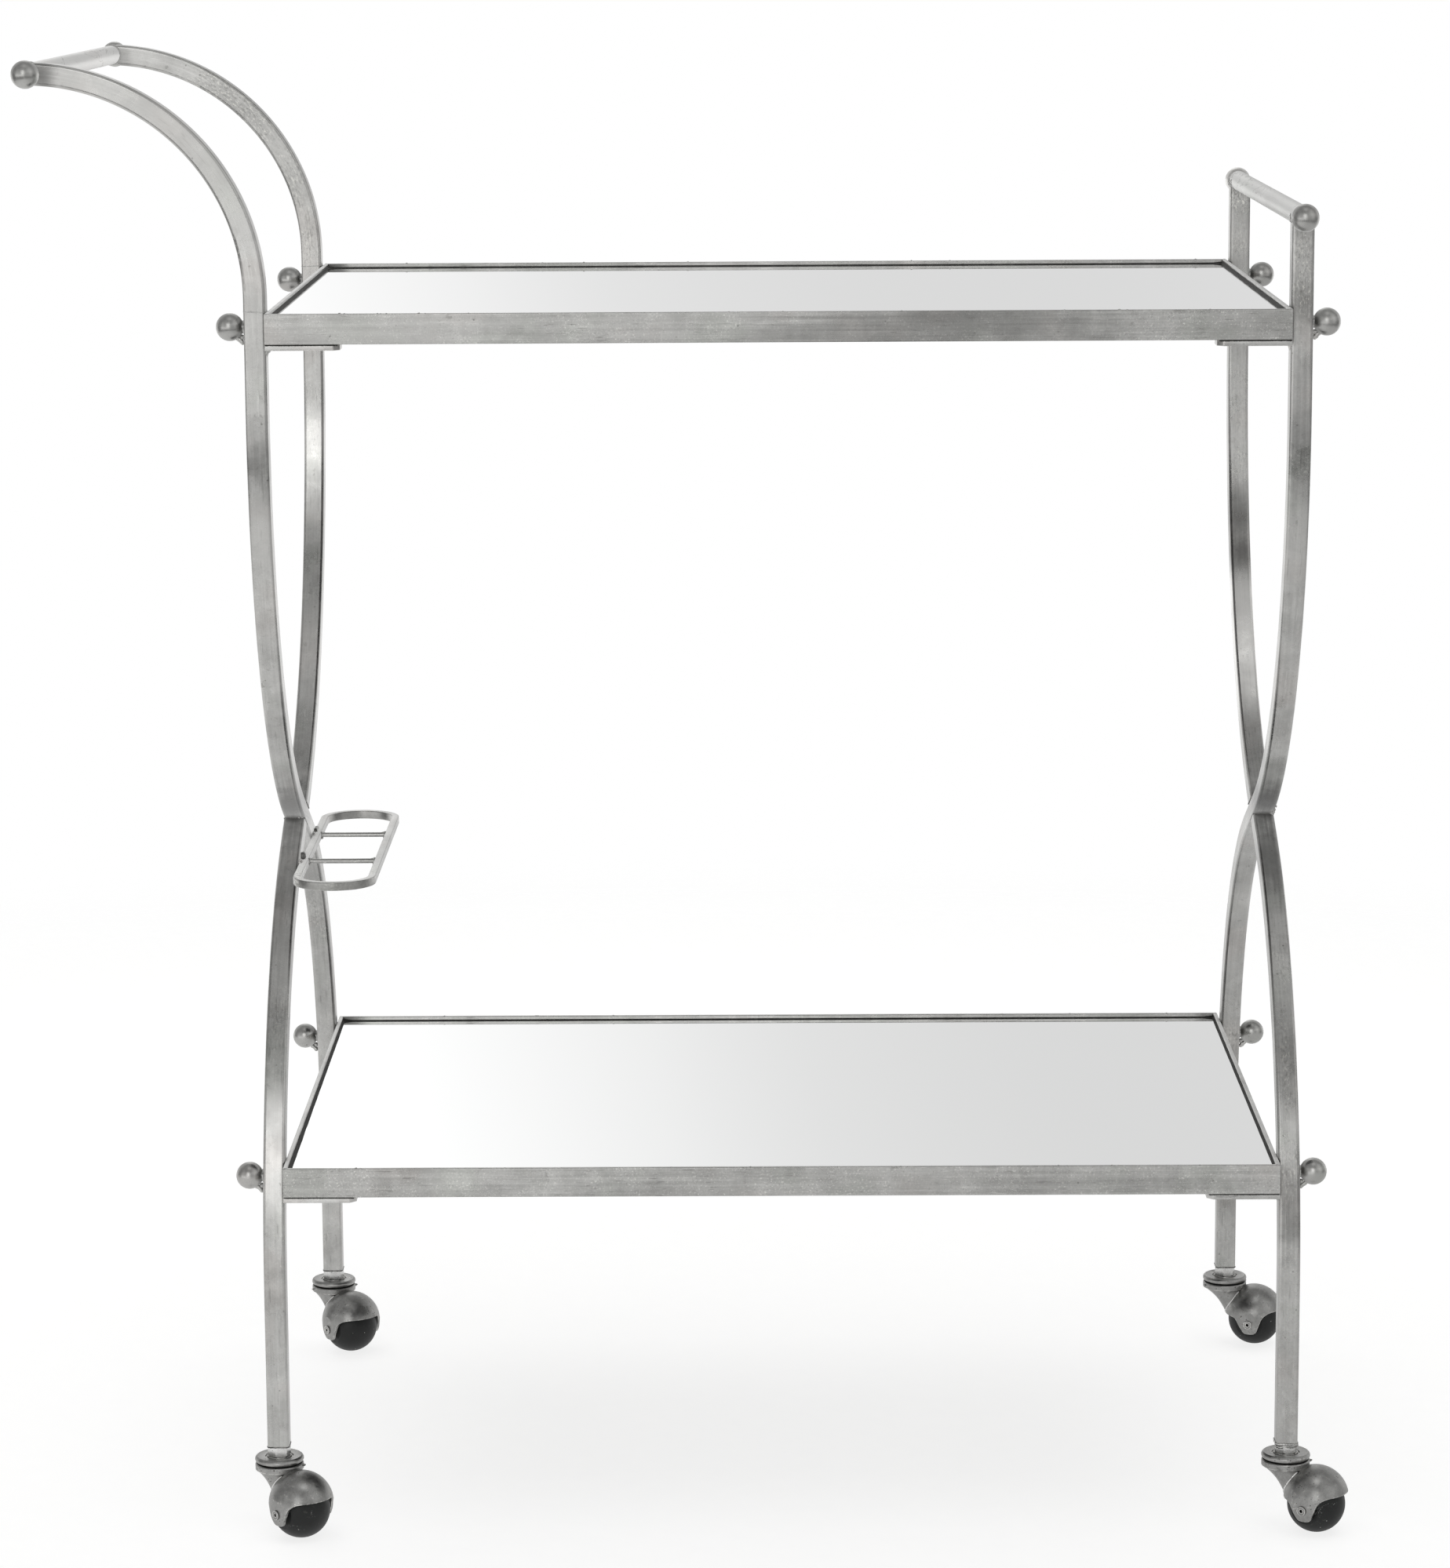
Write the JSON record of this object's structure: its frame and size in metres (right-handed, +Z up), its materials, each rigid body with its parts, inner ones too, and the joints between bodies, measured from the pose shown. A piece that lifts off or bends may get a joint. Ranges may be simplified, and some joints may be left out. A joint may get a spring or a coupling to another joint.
{
  "type": "bar cart",
  "caption": "Rolling bar cart with silver-finished curved tube frame, mirrored tray shelves, push handle, end rail, bottle rack and swivel ball casters.",
  "frame": {"origin": "on the floor, under the middle of the whole cart's box", "axes": "+Z up, +X from the push handle to the end rail, +Y from the front to the rear"},
  "size_m": [0.8357, 0.4689, 0.9412],
  "materials": {
    "silver_leaf": "antique silver leaf over welded steel, soft sheen with mottled patches",
    "caster_metal": "antique silver paint on pressed steel, darker in the recesses",
    "plain_steel": "plain zinc",
    "mirror": "clear glass mirror",
    "board": "black-faced fibreboard",
    "ball_rubber": "hard black rubber, slight gloss",
    "nylon": "natural nylon"
  },
  "bodies": {
    "frame": {"end_rail_bar": "silver_leaf", "end_rail_finials": "silver_leaf", "handle_bar": "silver_leaf", "handle_finials": "silver_leaf", "bottle_rack_hoop": "silver_leaf", "bottle_rack_rods": "silver_leaf", "left_through_leg": "silver_leaf", "left_upper_leg": "silver_leaf", "left_lower_leg": "silver_leaf", "right_through_leg": "silver_leaf", "right_upper_leg": "silver_leaf", "right_lower_leg": "silver_leaf", "front_handle_arm": "silver_leaf", "rear_handle_arm": "silver_leaf", "upper_front_rail": "silver_leaf", "upper_rear_rail": "silver_leaf", "upper_left_rail": "silver_leaf", "upper_right_rail": "silver_leaf", "upper_ball_nuts": "silver_leaf", "upper_support_tabs": "silver_leaf", "lower_front_rail": "silver_leaf", "lower_rear_rail": "silver_leaf", "lower_left_rail": "silver_leaf", "lower_right_rail": "silver_leaf", "lower_ball_nuts": "silver_leaf", "lower_support_tabs": "silver_leaf", "caster_caps": "caster_metal", "caster_lock_nuts": "caster_metal", "leg_inserts": "plain_steel", "caster_stems": "plain_steel", "caster_thrust_washers": "plain_steel", "upper_studs": "plain_steel", "lower_studs": "plain_steel", "upper_mirror": "mirror", "lower_mirror": "mirror", "upper_board": "board", "lower_board": "board"},
    "front_left_caster": {"front_left_caster_hood": "caster_metal", "front_left_caster_axle": "caster_metal"},
    "front_left_wheel": {"front_left_ball_wheel": "ball_rubber", "front_left_wheel_bush": "nylon"},
    "front_right_caster": {"front_right_caster_hood": "caster_metal", "front_right_caster_axle": "caster_metal"},
    "front_right_wheel": {"front_right_ball_wheel": "ball_rubber", "front_right_wheel_bush": "nylon"},
    "rear_left_caster": {"rear_left_caster_hood": "caster_metal", "rear_left_caster_axle": "caster_metal"},
    "rear_left_wheel": {"rear_left_ball_wheel": "ball_rubber", "rear_left_wheel_bush": "nylon"},
    "rear_right_caster": {"rear_right_caster_hood": "caster_metal", "rear_right_caster_axle": "caster_metal"},
    "rear_right_wheel": {"rear_right_ball_wheel": "ball_rubber", "rear_right_wheel_bush": "nylon"}
  },
  "joints": [
    {"name": "front_left_swivel", "type": "hinge", "parent": "frame", "child": "front_left_caster", "pos_m": [-0.2728, -0.197, 0.0425], "axis": [0, 0, 1], "continuous": true},
    {"name": "front_left_roll", "type": "hinge", "parent": "front_left_caster", "child": "front_left_wheel", "pos_m": [-0.25774, -0.21372, 0.0186], "axis": [0.7431, 0.6691, 0], "continuous": true},
    {"name": "front_right_swivel", "type": "hinge", "parent": "frame", "child": "front_right_caster", "pos_m": [0.3762, -0.197, 0.0425], "axis": [0, 0, 1], "continuous": true},
    {"name": "front_right_roll", "type": "hinge", "parent": "front_right_caster", "child": "front_right_wheel", "pos_m": [0.39485, -0.20958, 0.0186], "axis": [0.5592, 0.829, 0], "continuous": true},
    {"name": "rear_left_swivel", "type": "hinge", "parent": "frame", "child": "rear_left_caster", "pos_m": [-0.2728, 0.219, 0.0425], "axis": [0, 0, 1], "continuous": true},
    {"name": "rear_left_roll", "type": "hinge", "parent": "rear_left_caster", "child": "rear_left_wheel", "pos_m": [-0.25926, 0.20103, 0.0186], "axis": [0.7986, 0.6018, 0], "continuous": true},
    {"name": "rear_right_swivel", "type": "hinge", "parent": "frame", "child": "rear_right_caster", "pos_m": [0.3762, 0.219, 0.0425], "axis": [0, 0, 1], "continuous": true},
    {"name": "rear_right_roll", "type": "hinge", "parent": "rear_right_caster", "child": "rear_right_wheel", "pos_m": [0.39734, 0.2113, 0.0186], "axis": [0.342, 0.9397, 0], "continuous": true}
  ]
}
